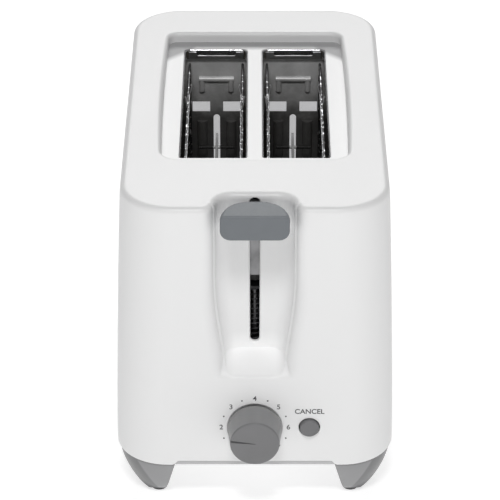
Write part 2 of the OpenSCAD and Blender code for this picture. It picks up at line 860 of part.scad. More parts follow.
module control_board() {
    color("seagreen")
        difference() {
            block([board_x0, board_y, board_low_z], [board_x1, board_y + board_t, board_top_z]);
            y_cylinder([0, board_y - eps, dial_z], board_t + 2 * eps, dial_shaft_d / 2 + 1);
        }
}

module timer_pot() {
    color("royalblue")
        difference() {
            block([-pot_w / 2, board_y - pot_d, dial_z - pot_w / 2], [pot_w / 2, board_y, dial_z + pot_w / 2]);
            y_cylinder([0, board_y - pot_d - eps, dial_z], pot_d + 2 * eps, dial_shaft_d / 2 + run_gap);
        }
}

module dial_shaft() {
    y0 = front_y - dial_gap - dial_shaft_bite;
    color("gainsboro") y_cylinder([0, y0, dial_z], board_y + board_t - y0, dial_shaft_d / 2);
}

// The pointer is a groove from the rim to the middle of the dial's face
module dial_knob() {
    groove_w = 1.8;
    groove_d = 1.2;
    skirt_r = dial_base_d / 2;
    length = dial_proud - dial_gap;
    face_y = front_y - dial_proud;
    color("gray")
        difference() {
            translate([0, front_y - dial_gap, dial_z])
                rotate([90, 0, 0])
                    cylinder(h = length, r1 = skirt_r, r2 = dial_face_d / 2);
            translate([0, face_y - eps, dial_z])
                rotate([0, 180 - pointer_angle, 0])
                    translate([-dial_face_d, 0, -groove_w / 2])
                        cube([dial_face_d, groove_d + eps, groove_w]);
            y_cylinder([0, front_y - dial_gap - dial_shaft_bite, dial_z], dial_shaft_bite + eps, dial_shaft_d / 2);
        }
}

module cancel_button() {
    flange_y = front_y + wall + 1.1;
    stem_end = board_y - switch_d - button_travel - slide_gap;
    color("gray") {
        y_cylinder([button_x, front_y - button_proud, dial_z], flange_y - front_y + button_proud + 1, button_d / 2);
        y_cylinder([button_x, flange_y, dial_z], 1, button_flange_d / 2);
        y_cylinder([button_x, flange_y, dial_z], stem_end - flange_y, button_stem_d / 2);
    }
}

module cancel_switch() {
    color("black")
        block([button_x - switch_w / 2, board_y - switch_d, dial_z - switch_w / 2],
            [button_x + switch_w / 2, board_y, dial_z + switch_w / 2]);
}

// ---- crumb tray and mains side ----

module crumb_tray() {
    half = tray_w / 2;
    color("lightgray")
        difference() {
            block([-half, tray_y0, tray_z], [half, tray_y1, tray_z + tray_h]);
            block([-half + tray_t, tray_y0 + tray_t, tray_z + tray_t],
                [half - tray_t, tray_y1 - 3 * tray_t, tray_z + tray_h + eps]);
            translate([0, tray_y1, tray_z - eps])
                linear_extrude(tray_h / 2)
                    rounded_rect(tray_grip_w, 2 * tray_t * 2, tray_t);
        }
}

module cord_inlet() {
    inner_y = rear_y - 3 * wall - 1;
    outer_y = rear_y;
    color("dimgray")
        difference() {
            union() {
                y_cylinder([-inlet_x, inner_y, inlet_z], outer_y - inner_y, inlet_bore_d / 2 + inlet_flange_t);
                y_cylinder([-inlet_x, inner_y, inlet_z], inlet_flange_t, inlet_flange_r);
            }
            y_cylinder([-inlet_x, inner_y - eps, inlet_z], outer_y - inner_y + 2 * eps, inlet_bore_d / 2);
        }
}

module terminal_block() {
    color("ivory")
        block([terminal_x, terminal_y, ground_gap], [terminal_x + terminal_w, terminal_y + terminal_l, terminal_top_z]);
}

// Two leads from the terminal block to the contacts, along the left side behind the reflector
module inner_leads() {
    side_x = -(chamber_half_w + shell_w / 2 - side_draft - wall) / 2;
    y_start = terminal_y + terminal_l / 2;
    low_z = ground_gap + lead_d;
    colours = ["saddlebrown", "navy"];
    for (k = [0, 1]) {
        x_start = terminal_x + terminal_w * (k + 0.5) / 2;
        x_end = -magnet_x - magnet_w / 2 - 6 - 4 * k;
        y_run = plate_front_y - 8 - 5 * k;
        z = pivot_z + 6 * (k + 1);
        color(colours[k])
            wire([[x_start, y_start, terminal_top_z], [x_start, y_start, z], [side_x, y_start, z],
                [side_x, y_run, z], [x_end, y_run, z], [x_end, rod_y, z], [x_end, rod_y, low_z]], lead_d);
    }
}

outer_shell();
top_panel();
slot_frame_left();
slot_frame_right();
base_plate();
foot_front_left();
foot_front_right();
foot_rear_left();
foot_rear_right();
foot_pads();
base_screws();
front_end_plate();
rear_end_plate();
reflector_left();
reflector_right();
chamber_screws();
heater_card_outer_left();
heater_card_inner_left();
heater_card_inner_right();
heater_card_outer_right();
ribbon_outer_left();
ribbon_inner_left();
ribbon_inner_right();
ribbon_outer_right();
guard_outer_left();
guard_inner_left();
guard_inner_right();
guard_outer_right();
guide_rod();
rod_bracket();
lift_spring();
travel_bumper();
lever_handle();
lever_arm();
carriage_bridge();
guide_bush();
bread_rack_left();
bread_rack_right();
armature();
contact_pusher();
magnet_core();
magnet_coil();
contact_block();
contact_blades();
control_board();
timer_pot();
dial_shaft();
dial_knob();
cancel_button();
cancel_switch();
crumb_tray();
cord_inlet();
terminal_block();
inner_leads();
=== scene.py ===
# Pop up toaster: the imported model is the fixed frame, and each piece below is made at its place in it.
import json
from math import asin, cos, pi, radians, sin

import bmesh
import bpy
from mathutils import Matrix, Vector


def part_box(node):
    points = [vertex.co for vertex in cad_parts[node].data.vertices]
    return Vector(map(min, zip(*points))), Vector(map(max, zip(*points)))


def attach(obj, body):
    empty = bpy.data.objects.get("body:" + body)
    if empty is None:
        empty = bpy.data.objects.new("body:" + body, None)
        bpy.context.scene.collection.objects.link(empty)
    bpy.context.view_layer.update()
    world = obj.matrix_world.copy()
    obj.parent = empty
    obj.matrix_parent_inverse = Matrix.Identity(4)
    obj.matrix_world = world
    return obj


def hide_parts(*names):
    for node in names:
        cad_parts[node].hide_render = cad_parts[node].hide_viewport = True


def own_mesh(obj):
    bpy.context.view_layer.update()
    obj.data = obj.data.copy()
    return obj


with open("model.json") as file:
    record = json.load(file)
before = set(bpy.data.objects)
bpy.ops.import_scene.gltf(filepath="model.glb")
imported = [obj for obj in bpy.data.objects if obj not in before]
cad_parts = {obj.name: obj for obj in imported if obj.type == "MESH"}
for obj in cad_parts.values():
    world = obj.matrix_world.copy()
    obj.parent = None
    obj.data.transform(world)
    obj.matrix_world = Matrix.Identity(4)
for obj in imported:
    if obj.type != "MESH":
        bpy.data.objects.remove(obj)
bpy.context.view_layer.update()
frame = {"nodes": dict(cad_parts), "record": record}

MM = 0.001


# ---- camera, table and light ----
# A long lens looks down at the lever end from thirty degrees, and the table is a pale sweep. One broad
# light stands behind and above, a small one hangs over the front, and a low one faces the lever end.
camera_data = bpy.data.cameras.new("camera")
camera_data.lens = 190.2
camera_data.sensor_width = 36
camera_data.shift_x = -0.0096
camera_data.shift_y = 0.021
camera = bpy.data.objects.new("camera", camera_data)
camera_height = 0.090
camera_distance = 1.600
camera_angle = radians(30)
camera.location = (0, -camera_distance * cos(camera_angle),
                   camera_height + camera_distance * sin(camera_angle))
camera.rotation_euler = (pi / 2 - camera_angle, 0, 0)
bpy.context.scene.collection.objects.link(camera)
bpy.context.scene.camera = camera
bpy.context.scene.view_settings.view_transform = "Standard"
bpy.context.scene.view_settings.exposure = 0.12


class Shade:
    """A place in a shader tree: its sockets are added, taken away and multiplied like numbers."""

    def __init__(self, tree, socket=None):
        self.tree = tree
        self.socket = socket

    def node(self, kind, settings=None, sockets=None, output=0):
        """Adds a node: its settings first, then the values or links of its sockets."""
        made = self.tree.nodes.new(kind)
        for name, value in (settings or {}).items():
            setattr(made, name, value)
        for name, value in (sockets or {}).items():
            if isinstance(value, Shade):
                self.tree.links.new(value.socket, made.inputs[name])
            else:
                made.inputs[name].default_value = value
        return Shade(self.tree, made.outputs[output])

    def math(self, operation, *values):
        return self.node("ShaderNodeMath", {"operation": operation}, dict(enumerate(values)))

    def __add__(self, other): return self.math("ADD", self, other)
    def __radd__(self, other): return self.math("ADD", other, self)
    def __sub__(self, other): return self.math("SUBTRACT", self, other)
    def __rsub__(self, other): return self.math("SUBTRACT", other, self)
    def __mul__(self, other): return self.math("MULTIPLY", self, other)
    def __rmul__(self, other): return self.math("MULTIPLY", other, self)
    def __abs__(self): return self.math("ABSOLUTE", self)


def new_material(name, **constants):
    """A material whose shader has its constants set directly. Returns it, its tree and its shader."""
    material = bpy.data.materials.new(name)
    material.use_nodes = True
    shader = material.node_tree.nodes["Principled BSDF"]
    for key, value in constants.items():
        shader.inputs[key.replace("_", " ")].default_value = value
    return material, Shade(material.node_tree), shader


def place(tree, scale=(1, 1, 1)):
    """Object coordinates in metres, stretched by scale."""
    where = tree.node("ShaderNodeTexCoord", output=3)
    return tree.node("ShaderNodeMapping", {}, {"Vector": where, "Scale": scale})


def noise(where, scale, detail=3.0, roughness=0.5):
    return where.node("ShaderNodeTexNoise", {}, {"Vector": where, "Scale": scale, "Detail": detail,
                                                 "Roughness": roughness})


def tint(factor, dark, light):
    """A colour between two colours, each a triple or a link, by factor."""
    first, last = (c if isinstance(c, Shade) else (*c, 1) for c in (dark, light))
    return factor.node("ShaderNodeMix", {"data_type": "RGBA"}, {0: factor, 6: first, 7: last}, output=2)


def feed(shader, **links):
    """Links what varies to the shader's sockets."""
    for key, value in links.items():
        value.tree.links.new(value.socket, shader.inputs[key.replace("_", " ")])


def use(obj, material):
    """Gives every face of an object one material."""
    obj.data.materials.clear()
    obj.data.materials.append(material)


def deselect():
    if bpy.context.object and bpy.context.object.mode != "OBJECT":
        bpy.ops.object.mode_set(mode="OBJECT")
    bpy.ops.object.select_all(action="DESELECT")


def pick(obj):
    deselect()
    obj.select_set(True)
    bpy.context.view_layer.objects.active = obj
    return obj


def settle(obj):
    """Puts an object's place into its mesh."""
    pick(obj)
    bpy.ops.object.transform_apply(location=True, rotation=True, scale=True)
    return obj


def named(name):
    """Names the object that the last operator made."""
    obj = bpy.context.object
    obj.name = name
    obj.data.name = name
    return obj


def area_light(name, size, power, spot, aim):
    data = bpy.data.lights.new(name, "AREA")
    data.shape = "RECTANGLE"
    data.size, data.size_y = size
    data.energy = power
    light = bpy.data.objects.new(name, data)
    light.location = spot
    light.rotation_euler = (Vector(aim) - Vector(spot)).to_track_quat("-Z", "Y").to_euler()
    bpy.context.scene.collection.objects.link(light)


world = bpy.data.worlds.new("studio")
world.use_nodes = True
world.node_tree.nodes["Background"].inputs["Color"].default_value = (1, 1, 1, 1)
world.node_tree.nodes["Background"].inputs["Strength"].default_value = 0.19
bpy.context.scene.world = world

area_light("back_light", (1.0, 0.5), 9.8, (0.0, 1.35, 1.05), (0, 0.05, 0.15))
area_light("top_light", (0.42, 0.30), 9.0, (-0.05, -0.85, 1.45), (0, -0.05, 0.10))
area_light("front_light", (1.7, 0.3), 4.5, (0.25, -1.9, 0.14), (0, -0.05, 0.10))

deselect()
bpy.ops.mesh.primitive_plane_add(size=12, location=(0, 0, -0.0002))
table = settle(named("table"))
table_material, tree, shader = new_material("table_paper", Roughness=0.9, Specular_IOR_Level=0.1,
                                            Emission_Strength=0.62)
grain = noise(place(tree), 40)
feed(shader, Base_Color=tint(grain, (0.60, 0.60, 0.60), (0.64, 0.64, 0.64)),
     Emission_Color=tint(grain, (0.97, 0.97, 0.97), (1.0, 1.0, 1.0)))
use(table, table_material)


# ---- outer shell ----
# One satin white moulding: drafted walls, a rim that rolls into the sunk opening, and the lever trough
# that breaks through the top edge. It is lofted ring by ring from its lower edge to the panel.
shell_low, shell_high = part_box("outer_shell")
panel_low, panel_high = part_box("top_panel")
frame_low, frame_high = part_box("slot_frame_right")
half_low = shell_high.x
half_top = half_low - 5.2 * MM
front_low = shell_low.y
rear_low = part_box("base_plate")[1].y + 1.0 * MM
draft_y, draft_rear, side_fullness = 3.5 * MM, 1.0 * MM, 0.65 * MM
rim_z = shell_high.z
edge_z = shell_low.z
foot_edge_z = edge_z - 2.7 * MM
corner = 30 * MM
top_edge = 3.6 * MM
trough_edge_low, trough_edge_high = 7.8 * MM, 6.3 * MM
wall = 2.5 * MM
trough_half = 23.3 * MM
trough_low_half = 17.6 * MM
trough_depth = 21 * MM
trough_low_z = 84.5 * MM
ramp_rise = 8.5 * MM
trough_inner = 10.0 * MM
panel_top = panel_high.z
recess_half = panel_high.x - 3 * MM
recess_front = panel_low.y + 5.6 * MM
recess_rear = panel_high.y - 3 * MM
recess_front_r, recess_rear_r = 9 * MM, 5.5 * MM
recess_lip = 2.4 * MM


def mix(a, b, t):
    return a + (b - a) * t


def ease(t):
    t = min(max(t, 0.0), 1.0)
    return t * t * (3 - 2 * t)


def arc(cx, cy, r, start, end, count):
    """Points on an arc, first point left out, angles in degrees."""
    turn = [radians(mix(start, end, i / count)) for i in range(1, count + 1)]
    return [(cx + r * cos(a), cy + r * sin(a)) for a in turn]


def line(a, b, shares):
    return [(mix(a[0], b[0], t), mix(a[1], b[1], t)) for t in shares]


def even(count):
    return [i / count for i in range(1, count + 1)]


# Columns crowd where the lower edge steps down to the feet
front_shares = (0.10, 0.25, 0.45, 0.62, 0.70, 0.76, 0.82, 0.88, 0.94, 1.0)
side_shares = (0.01, 0.022, 0.034, 0.046, 0.06, 0.10, 0.2, 0.3, 0.4, 0.5, 0.6, 0.7, 0.8, 0.9,
               0.94, 0.954, 0.966, 0.978, 0.99, 1.0)


def half_ring(half, front, rear, r, notch, depth, opened, edge, inner):
    """One side of the shell in plan, from the middle of the front to the middle of the rear."""
    reach = notch + edge
    slant = 1.2 * MM
    deep = [(0.0, depth)]
    deep += line(deep[-1], (notch - slant - inner, depth), even(6))
    deep += arc(notch - slant - inner, depth - inner, inner, 90, 0, 10)
    deep += line(deep[-1], (notch, min(edge, depth - inner)), even(5))
    deep += arc(notch + edge, edge, edge, 180, 270, 7)
    total = len(deep) - 1
    points = []
    for i, (x, y) in enumerate(deep):
        points.append((mix(reach * i / total, x, ease(opened) ** 0.5), front + y * opened))
    points += line((reach, front), (half - r, front), front_shares)
    points += arc(half - r, front + r, r, -90, 0, 14)
    points += line((half, front + r), (half, rear - r), side_shares)
    points += arc(half - r, rear - r, r, 0, 90, 14)
    points += line((half - r, rear), (0, rear), even(12))
    return points


def whole(points):
    """A half ring and its mirror image, as one closed ring."""
    return points + [(-x, y) for x, y in points[-2:0:-1]]


def loft(name, rings, closed=True, cap_first=False, cap_last=False):
    """A grid is added, each of its rows is set on one ring of points, and the seam is merged."""
    columns = len(rings[0]) + (1 if closed else 0)
    deselect()
    bpy.ops.mesh.primitive_grid_add(x_subdivisions=columns - 1, y_subdivisions=len(rings) - 1, size=1)
    obj = named(name)
    spots = []
    for ring in rings:
        row = list(ring) + ([ring[0]] if closed else [])
        spots.extend(v for point in row for v in point)
    obj.data.vertices.foreach_set("co", spots)
    bpy.ops.object.mode_set(mode="EDIT")
    bpy.ops.mesh.select_all(action="SELECT")
    bpy.ops.mesh.remove_doubles(threshold=1e-6)
    bpy.ops.object.mode_set(mode="OBJECT")
    mesh = obj.data
    for wanted, ring in ((cap_first, rings[0]), (cap_last, rings[-1])):
        if not wanted:
            continue
        spots = {tuple(round(v, 6) for v in point) for point in ring}
        bpy.ops.object.mode_set(mode="EDIT")
        bpy.ops.mesh.select_mode(type="VERT")
        bpy.ops.mesh.select_all(action="DESELECT")
        bm = bmesh.from_edit_mesh(mesh)
        for v in bm.verts:
            v.select = tuple(round(c, 6) for c in v.co) in spots
        bm.select_flush(True)
        bmesh.update_edit_mesh(mesh)
        bpy.ops.mesh.edge_face_add()
        bpy.ops.object.mode_set(mode="OBJECT")
    face_out(obj)
    return obj


def face_out(obj):
    pick(obj)
    bpy.ops.object.mode_set(mode="EDIT")
    bpy.ops.mesh.select_all(action="SELECT")
    bpy.ops.mesh.normals_make_consistent(inside=False)
    bpy.ops.mesh.select_all(action="DESELECT")
    bpy.ops.object.mode_set(mode="OBJECT")


def finish_with(obj, kind, **settings):
    """Adds a modifier and applies it."""
    pick(obj)
    modifier = obj.modifiers.new(kind.lower(), kind)
    for key, value in settings.items():
        setattr(modifier, key, value)
    bpy.ops.object.modifier_apply(modifier=modifier.name)


def cut(obj, *cutters):
    """Takes the cutters' shapes out of an object and removes the cutters."""
    for cutter in cutters:
        finish_with(obj, "BOOLEAN", object=cutter, operation="DIFFERENCE", solver="EXACT")
        bpy.data.objects.remove(cutter)


def smooth(obj, angle=38):
    pick(obj)
    bpy.ops.object.shade_smooth_by_angle(angle=radians(angle))
    finish_with(obj, "WEIGHTED_NORMAL", keep_sharp=True, weight=60)


def cylinder_y(name, x, z, y0, y1, r0, r1=None, sides=64):
    """A round bar or cone along +Y."""
    deselect()
    bpy.ops.mesh.primitive_cone_add(vertices=sides, radius1=r0, radius2=r0 if r1 is None else r1,
                                    depth=y1 - y0, location=(x, (y0 + y1) / 2, z), rotation=(-pi / 2, 0, 0))
    return settle(named(name))


def block(name, low, high, bevel=0.0, segments=3):
    deselect()
    middle = [(a + b) / 2 for a, b in zip(low, high)]
    bpy.ops.mesh.primitive_cube_add(size=1, location=middle, scale=[b - a for a, b in zip(low, high)])
    obj = settle(named(name))
    if bevel:
        finish_with(obj, "BEVEL", width=bevel, segments=segments, limit_method="ANGLE")
    return obj


def level(z):
    """How far up the drafted wall a height is, from 0 to 1."""
    return (z - edge_z) / (rim_z - edge_z)


def trough_at(z):
    """Half width of the trough at a height, and how far it has opened, from 0 to 1."""
    climb = (z - trough_low_z) / ramp_rise
    soft = ease(climb) if climb < 0.5 else mix(climb, ease(climb), 0.8)
    opened = min(max(mix(climb, soft, 0.6), 0.0), 1.0)
    rise = min(max((z - trough_low_z) / (52 * MM), 0.0), 1.0)
    half = mix(trough_low_half, trough_half, mix(rise, ease(rise), 0.5)) + 0.8 * MM * ease(1 - climb)
    return half, opened


def half_at(t):
    """Half the shell's width: the side walls are drafted and slightly full."""
    return mix(half_low, half_top, t) + side_fullness * max(4 * t * (1 - t), 0.0) ** 0.6


def shell_ring(z, edge, tuck=0.0):
    """The shell's outline at a height, tucked in by a distance."""
    t = level(z)
    half, opened = trough_at(z)
    return whole(half_ring(half_at(t) - tuck, front_low + draft_y * t + tuck,
                           rear_low - draft_rear * t - tuck, corner - tuck, half + tuck,
                           trough_depth - draft_y * t, opened, edge - tuck, trough_inner + tuck))


def lower_edge(x, y):
    """Height of the shell's lower edge: it steps down over each foot."""
    step = 3.0 * MM
    along_x = ease((abs(x) - 44 * MM) / step)
    middle = (front_low + rear_low) / 2
    along_y = ease((abs(y - middle) - ((rear_low - front_low) / 2 - 34 * MM)) / step)
    return mix(edge_z, foot_edge_z, along_x * along_y)


rings = []
for lift, tuck in ((0.0, 1.1), (0.08, 0.6), (0.35, 0.25), (0.9, 0.0)):
    ring = shell_ring(edge_z, trough_edge_low, tuck * MM)
    rings.append([(x, y, lower_edge(x, y) + lift * MM) for x, y in ring])
heights = [34, 42, 52, 62, 72, 79, 82, 83.5]
heights += [84.0 + 0.5 * i for i in range(21)]
heights += [95, 96.5, 99, 103, 108, 114, 121, 128, 140, 155, 170, 182, 187]
for z in heights:
    edge = mix(trough_edge_low, trough_edge_high, ease((z - 110) / 60))
    rings.append([(x, y, z * MM) for x, y in shell_ring(z * MM, edge)])
rim_under = rim_z - top_edge
for i in range(9):
    a = pi / 2 * i / 8
    rings.append([(x, y, rim_z - top_edge * (1 - sin(a)))
                  for x, y in shell_ring(rim_under, trough_edge_high, top_edge * (1 - cos(a)))])


# The points behind the trough fan outwards, so the rim's faces never fold
front_spread = [0.74 * (i / 28) ** 0.62 for i in range(1, 29)] + [0.74 + 0.026 * i for i in range(1, 11)]


def recess_ring(grow, bow):
    """The sunk opening in plan, its sides bowed outwards and its front edge bowed forwards."""
    half = recess_half + grow
    front = recess_front - grow
    rear = recess_rear + grow
    r_front = recess_front_r + grow
    r_rear = recess_rear_r + grow
    points = [(0.0, front)]
    points += line((0, front), (half - r_front, front), front_spread)
    points += arc(half - r_front, front + r_front, r_front, -90, 0, 14)
    points += line((half, front + r_front), (half, rear - r_rear), side_shares)
    points += arc(half - r_rear, rear - r_rear, r_rear, 0, 90, 14)
    points += line((half - r_rear, rear), (0, rear), even(12))
    middle, reach = (front + rear) / 2, (rear - front) / 2
    bowed = []
    for x, y in points:
        out = bow * max(0.0, 1 - ((y - middle) / reach) ** 2) * min(1.0, abs(x) / half)
        ahead = 0.6 * bow * max(0.0, 1 - (x / half) ** 2) if y < middle else 0.0
        bowed.append((x + out, y - ahead))
    return whole(bowed)


for distance in (0.5, 1.2, 2.0, 2.6):
    top_ring = shell_ring(rim_under, trough_edge_high, top_edge + distance * MM)
    rings.append([(x, y, rim_z) for x, y in top_ring])
lip_ring = recess_ring(recess_lip, 2.6 * MM)
for t in (0.05, 0.14, 0.3, 0.55, 0.8, 0.93):
    rings.append([(mix(a[0], b[0], t), mix(a[1], b[1], t), rim_z) for a, b in zip(top_ring, lip_ring)])
for i in range(8):
    a = pi / 2 * i / 7
    ring = recess_ring(recess_lip * (1 - sin(a)), mix(2.6, 1.6, i / 7) * MM)
    rings.append([(x, y, rim_z - recess_lip * (1 - cos(a))) for x, y in ring])
for z in (rim_z - recess_lip - 1.2 * MM, panel_top + 0.05 * MM):
    rings.append([(x, y, z) for x, y in recess_ring(0.0, 1.2 * MM)])

shell = loft("shell_moulding", rings)
finish_with(shell, "SOLIDIFY", thickness=wall - 0.2 * MM, offset=-1)

slot_half = 2.85 * MM
slot_low_half = 2.65 * MM
slot_low = 96.7 * MM
slot_high = 189.8 * MM
slot_flare = 3.4 * MM
trough_back = front_low + trough_depth


def slot_outline(grow):
    """The lever slot in the upright plane: a long tapered opening with round ends."""
    top = [(cos(a) * (slot_half + grow), slot_high - slot_half + sin(a) * (slot_half + grow))
           for a in [pi * i / 12 for i in range(13)]]
    low = [(-cos(a) * (slot_low_half + grow), slot_low + slot_low_half - sin(a) * (slot_low_half + grow))
           for a in [pi * i / 12 for i in range(13)]]
    return top + low


slot_cutter = loft("slot_cutter", [[(x, y, z) for x, z in slot_outline(grow)]
                                   for y, grow in ((trough_back - 3 * MM, slot_flare),
                                                   (trough_back + 0.8 * MM, 0.0),
                                                   (trough_back + 8 * MM, 0.0))],
                   cap_first=True, cap_last=True)
knob_low, knob_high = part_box("dial_knob")
dial_z = (knob_low.z + knob_high.z) / 2
button_low, button_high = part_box("cancel_button")
button_x = (button_low.x + button_high.x) / 2


def face_y(z):
    """Where the drafted front face is at a height."""
    return front_low + draft_y * level(z)


dial_face_y = face_y(dial_z)
dial_ring_r, dial_ring_depth = 15.95 * MM, 1.9 * MM
button_hole_r = 6.2 * MM
inlet_hole_r = 5.75 * MM
tray_gap = 0.6 * MM
dial_cutter = cylinder_y("dial_cutter", 0, dial_z, dial_face_y - 6 * MM, dial_face_y + dial_ring_depth,
                         dial_ring_r, sides=96)
button_cutter = cylinder_y("button_cutter", button_x, dial_z, dial_face_y - 6 * MM, dial_face_y + 8 * MM,
                           button_hole_r)
inlet_low, inlet_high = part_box("cord_inlet")
inlet_x = (inlet_low.x + inlet_high.x) / 2
inlet_z = (inlet_low.z + inlet_high.z) / 2
inlet_cutter = cylinder_y("inlet_cutter", inlet_x, inlet_z, rear_low - 9 * MM, rear_low + 5 * MM,
                          inlet_hole_r)
tray_low, tray_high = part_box("crumb_tray")
tray_cutter = block("tray_cutter", (tray_low.x - tray_gap, rear_low - 9 * MM, edge_z - 9 * MM),
                    (tray_high.x + tray_gap, rear_low + 5 * MM, tray_high.z + tray_gap), 1.2 * MM)
cut(shell, slot_cutter, dial_cutter, button_cutter, inlet_cutter, tray_cutter)
smooth(shell)


def spread(value, low, high, low_out, high_out):
    """A value's range from low to high, mapped to another range and held at its ends."""
    return value.node("ShaderNodeMapRange", {}, {0: value, 1: low, 2: high, 3: low_out, 4: high_out})


def bump(height, distance):
    return height.node("ShaderNodeBump", {}, {"Height": height, "Distance": distance, "Strength": 1.0})


def along(vector, axis):
    """One axis of a place or a direction: 0, 1 or 2."""
    return vector.node("ShaderNodeSeparateXYZ", {}, {"Vector": vector}, output=axis)


def facing(tree):
    """The direction that the surface faces."""
    return tree.node("ShaderNodeTexCoord", output=1)


def shades_of(material):
    """A material's tree and shader, to give it more than its first finish."""
    return Shade(material.node_tree), material.node_tree.nodes["Principled BSDF"]


def plastic(name, colour, roughness, coat=0.0, grain_size=900.0, grain_depth=0.01, drift=0.03):
    """A moulded plastic: a faint cloud in its colour, and a fine skin that breaks up the gloss."""
    material, tree, shader = new_material(name, Specular_IOR_Level=0.5, Coat_Roughness=0.12)
    where = place(tree)
    cloud = noise(where, 14, 4)
    skin = noise(where, grain_size, 2)
    dark = tuple(c * (1 - drift) for c in colour)
    feed(shader,
         Base_Color=tint(cloud, dark, colour),
         Roughness=spread(skin, 0.3, 0.7, roughness * 0.85, roughness * 1.15) + 0.04 * cloud,
         Normal=bump(skin, grain_depth * MM))
    shader.inputs["Coat Weight"].default_value = coat
    return material


shell_white = plastic("gloss_white_moulding", (0.83, 0.83, 0.83), 0.40, grain_depth=0.003, drift=0.015)
tree, shader = shades_of(shell_white)
where = place(tree)
spot_y, spot_z = along(where, 1), along(where, 2)
beside = abs(along(where, 0))
# Painted light: the inside of the rear wall is given a faint emission of its own, so it reads brighter
painted_glow = spread(spot_y, 0.128, 0.134, 0.0, 1.0) * spread(along(facing(tree), 1), -0.5, -0.7, 0.0, 1.0)
# Painted light: the ramp at the foot of the trough is painted paler than the rest, as if lit more strongly
painted_ramp_light = (spread(spot_y, -0.1245, -0.1215, 0.0, 1.0) * spread(spot_y, -0.100, -0.103, 0.0, 1.0)
         * spread(spot_z, 0.083, 0.086, 0.0, 1.0) * spread(spot_z, 0.104, 0.093, 0.0, 1.0)
         * spread(beside, 0.019, 0.012, 0.0, 1.0))
feed(shader, Emission_Color=tint(painted_glow, (0, 0, 0), (0.36, 0.36, 0.365)),
     Base_Color=tint(painted_ramp_light, (0.83, 0.83, 0.83), (0.97, 0.97, 0.97)))
shader.inputs["Emission Strength"].default_value = 1.0
use(shell, shell_white)
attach(shell, "chassis")
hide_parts("outer_shell")


# ---- top panel ----
# A thin white plate closes the sunk opening. Each slot hole has a softened edge.
def rounded_ring(cx, cy, half_x, half_y, r_front, r_rear, steps=8):
    """A rounded rectangle in plan, with tighter corners at the front."""
    ring = []
    for sx, sy, start in ((1, -1, -90), (1, 1, 0), (-1, 1, 90), (-1, -1, 180)):
        r = r_front if sy < 0 else r_rear
        x, y = cx + sx * (half_x - r), cy + sy * (half_y - r)
        turn = [radians(start + 90 * i / steps) for i in range(steps + 1)]
        ring += [(x + r * cos(a), y + r * sin(a)) for a in turn]
    return ring


slot_x = (frame_low.x + frame_high.x) / 2
slot_y = (frame_low.y + frame_high.y) / 2
hole_half_x = (frame_high.x - frame_low.x) / 2
hole_half_y = (frame_high.y - frame_low.y) / 2
hole_front_r, hole_rear_r = 1.5 * MM, 3.8 * MM
panel = block("top_plate", panel_low, panel_high, 0.3 * MM)
for side in (-1, 1):
    rings = []
    for z, grow in ((panel_low.z - 1 * MM, 0), (panel_top - 0.5 * MM, 0), (panel_top - 0.15 * MM, 0.12 * MM),
                    (panel_top, 0.5 * MM), (panel_top + 1 * MM, 1.5 * MM)):
        ring = rounded_ring(side * slot_x, slot_y, hole_half_x + grow, hole_half_y + grow,
                            hole_front_r + grow, hole_rear_r + grow)
        rings.append([(x, y, z) for x, y in ring])
    cut(panel, loft("slot_hole", rings, cap_first=True, cap_last=True))
smooth(panel)
panel_white, tree, shader = new_material("panel_moulding", Specular_IOR_Level=0.5)
where = place(tree)
cloud = noise(where, 14, 4)
skin = noise(where, 900, 2)
# Painted shadow: the strip behind the slots is darkened as if the rear rim shaded it, and its ends reach
# forward beside them
past_slots = tree.math("MAXIMUM", abs(along(where, 0)) - 0.036, 0.0)
painted_shadow = spread(along(where, 1) + 0.002 * cloud + 0.95 * past_slots, 0.0940, 0.1010, 0.0, 1.0)
brighter_part = tint(cloud, (0.87, 0.87, 0.87), (0.90, 0.90, 0.90))
feed(shader, Base_Color=tint(painted_shadow, brighter_part, (0.40, 0.40, 0.405)),
     Roughness=spread(skin, 0.3, 0.7, 0.38, 0.46) + 0.15 * painted_shadow, Normal=bump(skin, 0.006 * MM))
use(panel, panel_white)
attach(panel, "chassis")
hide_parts("top_panel")


# ---- bright slot frames ----
# Plated steel collars line the bread slots, each with a rolled bead that laps onto the panel.
def metal(name, colour, roughness, blotch=0.25, scale=60, dent=0.02, stretch=(1, 1, 1)):
    """Rolled or plated metal: cloudy reflections, fine dents, and a dull film in patches."""
    material, tree, shader = new_material(name, Metallic=1.0)
    where = place(tree, stretch)
    cloud = noise(where, scale, 5, 0.6)
    fine = noise(where, scale * 9, 3)
    film = spread(cloud, 0.42, 0.68, 0.0, 1.0)
    dark = tuple(c * (1 - blotch) for c in colour)
    feed(shader,
         Base_Color=tint(film, colour, dark),
         Roughness=spread(film + 0.4 * fine, 0.0, 1.2, roughness, min(roughness + blotch, 1.0)),
         Normal=bump(cloud + 0.35 * fine, dent * MM))
    return material


chrome = metal("plated_bright", (0.78, 0.78, 0.79), 0.12, 0.10, 40, 0.01)
lining_bottom = frame_low.z
lining_inset = 0.8 * MM
lining_front_r, lining_rear_r = 0.7 * MM, 3.0 * MM
# Pairs of how far out from the collar's inner face, in millimetres, and height
bead = [(0.70, lining_bottom), (0.70, 184.6 * MM), (0.72, 185.15 * MM), (0.62, 185.40 * MM),
        (0.40, 185.55 * MM), (0.18, 185.45 * MM), (0.0, 185.1 * MM), (0.0, 183.0 * MM),
        (0.0, lining_bottom), (0.70, lining_bottom)]
for name, side in (("left", -1), ("right", 1)):
    rings = []
    for out, z in bead:
        out *= MM
        ring = rounded_ring(side * slot_x, slot_y, hole_half_x - lining_inset + out,
                            hole_half_y - lining_inset + out, lining_front_r + out, lining_rear_r + out)
        rings.append([(x, y, z) for x, y in ring])
    lining = loft("slot_lining_" + name, rings)
    smooth(lining, 50)
    use(lining, chrome)
    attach(lining, "chassis")
    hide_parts("slot_frame_" + name)

